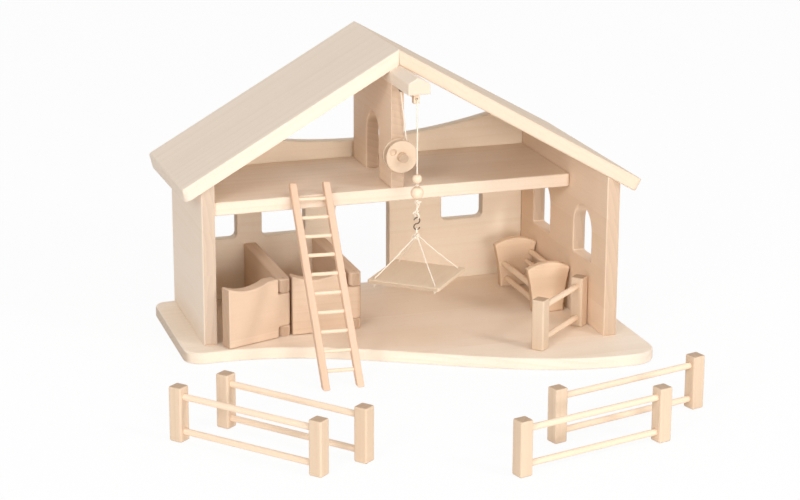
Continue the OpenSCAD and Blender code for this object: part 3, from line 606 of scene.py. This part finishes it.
def turned_form(centre, radii, heights, around=72):
    """Profile of radii and heights turned once about the upright line through the centre."""
    angle = np.linspace(0, 2 * np.pi, around, endpoint=False)[None, :]
    radii, heights = np.array(radii)[:, None], np.array(heights)[:, None]
    x = centre[0] + radii * np.cos(angle)
    y = centre[1] + radii * np.sin(angle)
    z = centre[2] + heights + 0 * angle
    return np.stack([x, y, z, np.zeros_like(x)], axis=-1)


def bead(node, bore):
    """Ball with a bore: the sphere's arc, a quarter round at each mouth, and the bore's wall."""
    low, high = (np.array(corner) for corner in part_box(node))
    centre, radius = (low + high) / 2, (high - low).max() / 2
    ease = 0.5 * MM
    mouth = math.asin((bore / 2 + ease) / radius)
    arc = np.linspace(np.pi - mouth, mouth, 41)
    quarter = np.linspace(0, np.pi / 2, 6)[1:]
    rim_height = radius * math.cos(mouth)
    top_r = bore / 2 + ease * (1 - np.sin(quarter))
    top_z = rim_height - ease * (1 - np.cos(quarter))
    radii = np.concatenate([radius * np.sin(arc), top_r, top_r[::-1], [radius * math.sin(mouth)]])
    heights = np.concatenate([radius * np.cos(arc), top_z, -top_z[::-1], [-rim_height]])
    return surface(node + "_turned", [turned_form(centre, radii, heights)])


# Strings, beads, hook and eye of the hoist


STRING_D = 2.0 * MM
SLING_D = 1.6 * MM
# Distance of the platform's holes from its middle
HOLE_REACH = 42 * math.sqrt(2) * MM


def middle(node):
    low, high = (np.array(corner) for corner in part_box(node))
    return (low + high) / 2


def hung_string():
    """Plain upright string from the block's lip down into the small bead."""
    low, high = (np.array(corner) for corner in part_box("drop_string"))
    x, y, _ = (low + high) / 2
    path = route([(x, y, high[2] + 0.5 * MM), (x, y, low[2] - 2.5 * MM)])
    piece = surface("hanging_string", [string(path, (1, 0, 0), STRING_D)])
    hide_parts("drop_string")
    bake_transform(piece)
    dress(piece, COTTON)


def hoist_run():
    """From the winding up to the eye at the arm's root, along the arm and over the block's lip."""
    drop, eye, drum = middle("drop_string"), middle("string_eye"), middle("string_winding")
    block_low, block_high = (np.array(corner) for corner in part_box("string_block"))
    x = drop[0]
    run_z = np.array(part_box("hoist_string")[1])[2] - STRING_D / 2
    reach = np.array(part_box("hoist_string")[1])[0] - STRING_D / 2 - x
    y = -5 * MM
    low_angle = np.radians(np.linspace(-70, 0, 12))
    wound = [(x + reach * math.cos(a), y, drum[2] + reach * math.sin(a)) for a in low_angle]
    top = np.array(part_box("drop_string")[1])[2]
    path = route(
        wound
        + [
            (x + 0.4 * MM, y - 1.2 * MM, run_z - 5 * MM),
            (x, eye[1] + 1.5 * MM, run_z - 1.5 * MM),
            (x, eye[1] - 3 * MM, run_z - 1.2 * MM),
            (x, block_high[1] + 1 * MM, run_z - 0.3 * MM),
            (x, block_low[1] - 0.6 * MM, run_z - 0.2 * MM),
            (x, drop[1] + 0.3 * MM, run_z - 1.6 * MM),
            (x, drop[1], run_z - 3.4 * MM),
            (x, drop[1], top - 0.5 * MM),
        ],
        rounding=2.8 * MM,
    )
    stand_in(surface("hoist_run_string", [string(path, (1, 0, 0), STRING_D)]), "hoist_string", COTTON)


def wound_string():
    """Three turns on the hub: x and z go round at one radius while y moves on by one pitch a turn, and the
    inner end dips into the hub."""
    low, high = (np.array(corner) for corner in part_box("string_winding"))
    centre, radius = (low + high) / 2, (high[0] - low[0] - STRING_D) / 2
    turns = 3
    pitch = (high[1] - low[1] - STRING_D) / turns
    t = np.linspace(0, turns, turns * 110)
    dip = 1.6 * MM * np.clip(1 - t / 0.06, 0, 1)
    reach = radius - dip
    path = np.stack(
        [
            centre[0] + reach * np.cos(2 * np.pi * t),
            centre[1] + pitch * (t - turns / 2),
            centre[2] + reach * np.sin(2 * np.pi * t),
        ],
        axis=1,
    )
    grid = string(path, (0, 1, 0), STRING_D)
    stand_in(surface("wound_string", [grid]), "string_winding", COTTON)


def bead_string():
    """String through both beads, its three knots, and the loop that hangs on the hook."""
    small, large, hook = middle("small_bead"), middle("large_bead"), middle("lift_hook")
    hook_top = np.array(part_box("lift_hook")[1])[2]
    x, y = small[:2]
    bead_top = np.array(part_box("small_bead")[1])[2]
    bead_foot = np.array(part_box("large_bead")[0])[2]
    loop_z = hook_top - 1.6 * MM + 3.1 * MM
    high_knot = np.array((x + 0.8 * MM, y, bead_foot - 4.6 * MM))
    low_knot = np.array((x - 0.9 * MM, y, loop_z + 5.6 * MM))
    between = np.array((x, y, (small[2] + large[2]) / 2 + 1.0 * MM))
    main = route([(x, y, bead_top - 2 * MM), (x, y, bead_foot + 1 * MM), high_knot, low_knot])
    slack_out, slack_in = (2.6 * MM, 0, -2.2 * MM), (1.2 * MM, 0.6 * MM, -6.2 * MM)
    slack = route([high_knot, high_knot + slack_out, high_knot + slack_in, low_knot])
    high_tail = route(
        [high_knot, high_knot + (3.2 * MM, -0.6 * MM, 1.6 * MM), high_knot + (5.2 * MM, -1 * MM, -0.4 * MM)]
    )
    low_tail = route(
        [low_knot, low_knot + (-3.6 * MM, -1 * MM, 0.2 * MM), low_knot + (-5.4 * MM, -1.2 * MM, -2.4 * MM)]
    )
    grids = [
        string(main, (1, 0, 0), STRING_D),
        string(slack, (0, 1, 0), 2.0 * MM),
        string(high_tail, (0, 1, 0), 1.8 * MM),
        string(low_tail, (0, 1, 0), 1.8 * MM),
        knot(between, 2.6 * MM, 1.7 * MM),
        knot(high_knot, 4.2 * MM, 2.4 * MM, axis=(0.5, 0.3, 1)),
        knot(low_knot, 4.0 * MM, 2.3 * MM, axis=(-0.4, 0.5, 1), turn=1.0),
        loop((x, y, loop_z), 3.6 * MM, 2.2 * MM, normal=(1, 0.5, 0)),
    ]
    stand_in(surface("bead_string", grids), "bead_cord", COTTON)


def steel_hook():
    """S of two three-quarter bends: up round the string's loop, down round the sling's."""
    low, high = (np.array(corner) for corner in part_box("lift_hook"))
    x, y, middle_z = (low + high) / 2
    wire = high[1] - low[1]
    bend = (high[2] - low[2] - wire) / 4
    upper = np.radians(np.linspace(170, -90, 80))
    lower = np.radians(np.linspace(90, 350, 80))[1:]
    turn = np.concatenate([upper, lower])
    centre_z = np.concatenate([middle_z + bend + 0 * upper, middle_z - bend + 0 * lower])
    path = np.stack([x + bend * np.cos(turn), y + 0 * turn, centre_z + bend * np.sin(turn)], axis=1)
    stand_in(surface("steel_hook", [carried(path, (0, 1, 0), wire / 2, 20)]), "lift_hook", STEEL)


def steel_eye():
    """Wire bent round once, with its straight shank up into the arm."""
    low, high = (np.array(corner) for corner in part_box("string_eye"))
    x, y, _ = (low + high) / 2
    wire = high[1] - low[1]
    ring = (high[0] - low[0] - wire) / 2
    ring_z = low[2] + wire / 2 + ring
    t = np.radians(np.linspace(-235, 75, 90))
    round_path = np.stack([x + ring * np.cos(t), y + 0 * t, ring_z + ring * np.sin(t)], axis=1)
    ring_top = ring_z + ring
    neck = np.array([(x + 0.3 * MM, y, ring_top + 0.5 * MM), (x, y, ring_top + 1.6 * MM), (x, y, high[2])])
    path = route(np.concatenate([round_path, neck]), step=0.25 * MM, rounding=1.0 * MM)
    stand_in(surface("steel_eye", [carried(path, (0, 1, 0), wire / 2, 16)]), "string_eye", STEEL)


def sling():
    """Four strings from the knot under the hook to the platform's holes, each with a knot below."""
    low, high = (np.array(corner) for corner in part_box("lift_platform"))
    x, y = ((low + high) / 2)[:2]
    loop_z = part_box("sling_strings")[1][2] - 5.0 * MM
    knot_place = np.array((x, y, loop_z - 6.0 * MM))
    turn = math.radians(PLATFORM_TURN + 45)
    grids = [
        loop((x, y, loop_z), 3.4 * MM, 2.2 * MM, normal=(1, -0.5, 0)),
        knot(knot_place, 4.6 * MM, 2.4 * MM, axis=(0.2, 0.6, 1)),
        knot(knot_place - (1.8 * MM, 0.6 * MM, 3.2 * MM), 4.0 * MM, 2.2 * MM, axis=(-0.5, 0.2, 1), turn=0.8),
    ]
    corners = turn + np.arange(4) * math.pi / 2
    for index, angle in enumerate(corners):
        spoke = np.array((math.cos(angle), math.sin(angle), 0))
        hole = np.array((x, y, high[2])) + HOLE_REACH * spoke
        sag = (knot_place + hole) / 2 - (0, 0, 0.5 * MM)
        path = route(
            [knot_place + 1.2 * MM * spoke, sag, hole + (0, 0, 0.8 * MM), hole - (0, 0, 6.4 * MM)],
            rounding=2.4 * MM,
        )
        grids.append(string(path, (-math.sin(angle), math.cos(angle), 0), SLING_D))
        under = np.array((hole[0], hole[1], low[2] - 2.1 * MM))
        grids.append(knot(under, 2.5 * MM, 1.5 * MM, axis=(0.3, 0.2, 1), turn=index))
        tail = route([under, under - (0.3 * MM, 0.2 * MM, 1.8 * MM), under - (1.6 * MM, 0.8 * MM, 3.2 * MM)])
        grids.append(string(tail, (1, 0, 0), 1.5 * MM))
    tail_angle = turn + 0.9
    tail_way = np.array((math.cos(tail_angle), math.sin(tail_angle), 0))
    tail_end = knot_place + 6.4 * MM * tail_way - (0, 0, 3.4 * MM)
    tail = route([knot_place, knot_place + 4.2 * MM * tail_way, tail_end])
    grids.append(string(tail, (0, 0, 1), 1.6 * MM))
    stand_in(surface("sling", grids), "sling_strings", COTTON)


hung_string()
hoist_run()
wound_string()
bead_string()
steel_hook()
steel_eye()
sling()
for number, node in enumerate(("small_bead", "large_bead")):
    bead_face = (0.3 * number, 1, 0)
    bead_wood = wood_finish(node + "_wood", TURNED, UP, bead_face, 300 + number, stave=0.5, rings=0.004)
    stand_in(bead(node, 2.4 * MM), node, bead_wood)


def screws():
    """Countersunk heads seen from below: a flat disc with a cross pressed in, on a cone and a shank.

    The cross is where the nearer of |x| and |y| is under half the slot's width, and deepens to the middle.
    """
    low, high = (np.array(corner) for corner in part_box("base_screws"))
    foot, top = low[2], high[2]
    left = [(-259 + y * math.tan(SPLAY), y) for y in (30, 102, 164)]
    right = [(259, y) for y in (-94, 0, 102, 164)]
    back = [(x, 195) for x in (-210, -80, 120, 210)]
    stalls = [(x, y) for x in (-156, -57) for y in (60, 156)]
    reach = 3.5 * MM
    radii = np.linspace(0, reach, 22)[:, None]
    angle = np.linspace(0, 2 * np.pi, 64, endpoint=False)[None, :]
    x, y = radii * np.cos(angle), radii * np.sin(angle)
    slot = np.clip((0.45 * MM - np.minimum(np.abs(x), np.abs(y))) / (0.15 * MM), 0, 1)
    depth = 1.1 * MM * slot * np.clip((2.2 * MM - radii) / (1.2 * MM), 0, 1)
    dome = 0.25 * MM * (radii / reach) ** 4
    head = np.stack([x, y, foot + depth + dome + 0 * angle, 0 * x], axis=-1)
    side_heights = [foot + 0.3 * MM, foot + 2 * MM, top, top]
    sides = turned_form((0, 0, 0), [reach, 1.8 * MM, 1.5 * MM, 0], side_heights, around=64)
    whole = np.concatenate([head, sides])[:, ::-1]
    grids = [whole + (to_x * MM, to_y * MM, 0, 0) for to_x, to_y in left + right + back + stalls]
    stand_in(surface("countersunk_screws", grids), "base_screws", STEEL)


screws()


# Floor, white surroundings and soft lamps

GLOW_SHARE = 0.93


def white_stage():
    """Floor that looks nearly white and keeps a faint shadow, under a sky brightest above and in front.

    The camera and glossy rays see GLOW_SHARE of plain white in the floor, and the rest is lit.
    """
    corners = [(-6, -6, -0.0004), (6, -6, -0.0004), (6, 6, -0.0004), (-6, 6, -0.0004)]
    mesh = bpy.data.meshes.new("floor")
    mesh.from_pydata(corners, [], [(0, 1, 2, 3)])
    floor = bpy.data.objects.new("floor", mesh)
    scene.collection.objects.link(floor)
    finish, tree, shader = new_finish("floor_white")
    shader.inputs["Base Color"].default_value = (0.93, 0.93, 0.93, 1)
    shader.inputs["Roughness"].default_value = 0.9
    shader.inputs["Specular IOR Level"].default_value = 0.0
    glow = add(tree, "ShaderNodeEmission", {"Color": (1, 1, 1, 1), "Strength": 1.0})
    rays = add(tree, "ShaderNodeLightPath")
    seen = maths(tree, "MAXIMUM", rays.outputs["Is Camera Ray"], rays.outputs["Is Glossy Ray"])
    blend = add(
        tree,
        "ShaderNodeMixShader",
        {0: maths(tree, "MULTIPLY", seen, GLOW_SHARE), 1: shader.outputs[0], 2: glow.outputs[0]},
    )
    tree.links.new(blend.outputs[0], tree.nodes["Material Output"].inputs["Surface"])
    dress(floor, finish)
    world = bpy.data.worlds.new("studio")
    world.use_nodes = True
    tree = world.node_tree
    rays = add(tree, "ShaderNodeLightPath")
    seen = maths(tree, "MAXIMUM", rays.outputs["Is Camera Ray"], rays.outputs["Is Glossy Ray"])
    seen = maths(tree, "MAXIMUM", seen, rays.outputs["Is Transmission Ray"])
    way = add(tree, "ShaderNodeTexCoord").outputs["Generated"]
    way = add(tree, "ShaderNodeSeparateXYZ", {0: way})
    front = span(tree, way.outputs["Y"], -0.8, 0.3, 0.32, 0.0)
    behind = span(tree, way.outputs["Y"], 0.2, 1.0, 0.0, 0.45)
    above = span(tree, way.outputs["Z"], 0.1, 0.9, 0.12, 0.60)
    sky = maths(tree, "ADD", maths(tree, "ADD", front, behind), above)
    level = add(tree, "ShaderNodeMix", {0: seen, 2: sky, 3: 1.0}, data_type="FLOAT").outputs[0]
    background = tree.nodes["Background"]
    background.inputs["Color"].default_value = (1, 1, 1, 1)
    tree.links.new(level, background.inputs["Strength"])
    scene.world = world


def lamp(name, place, target, size, watts):
    """Round area lamp turned to its target."""
    data = bpy.data.lights.new(name, "AREA")
    data.shape = "DISK"
    data.size = size
    data.energy = watts
    light = bpy.data.objects.new(name, data)
    light.location = place
    light.rotation_mode = "QUATERNION"
    light.rotation_quaternion = (Vector(target) - Vector(place)).to_track_quat("-Z", "Y")
    scene.collection.objects.link(light)


white_stage()
lamp("front_lamp", (-0.1, -4.3, 0.70), (0, 0, 0.18), 1.3, 62)
lamp("left_lamp", (-2.7, -2.9, 1.9), (0, 0, 0.15), 1.2, 47)
lamp("right_lamp", (2.2, -3.0, 2.5), (0, 0, 0.15), 0.9, 44)
scene.view_settings.view_transform = "Standard"
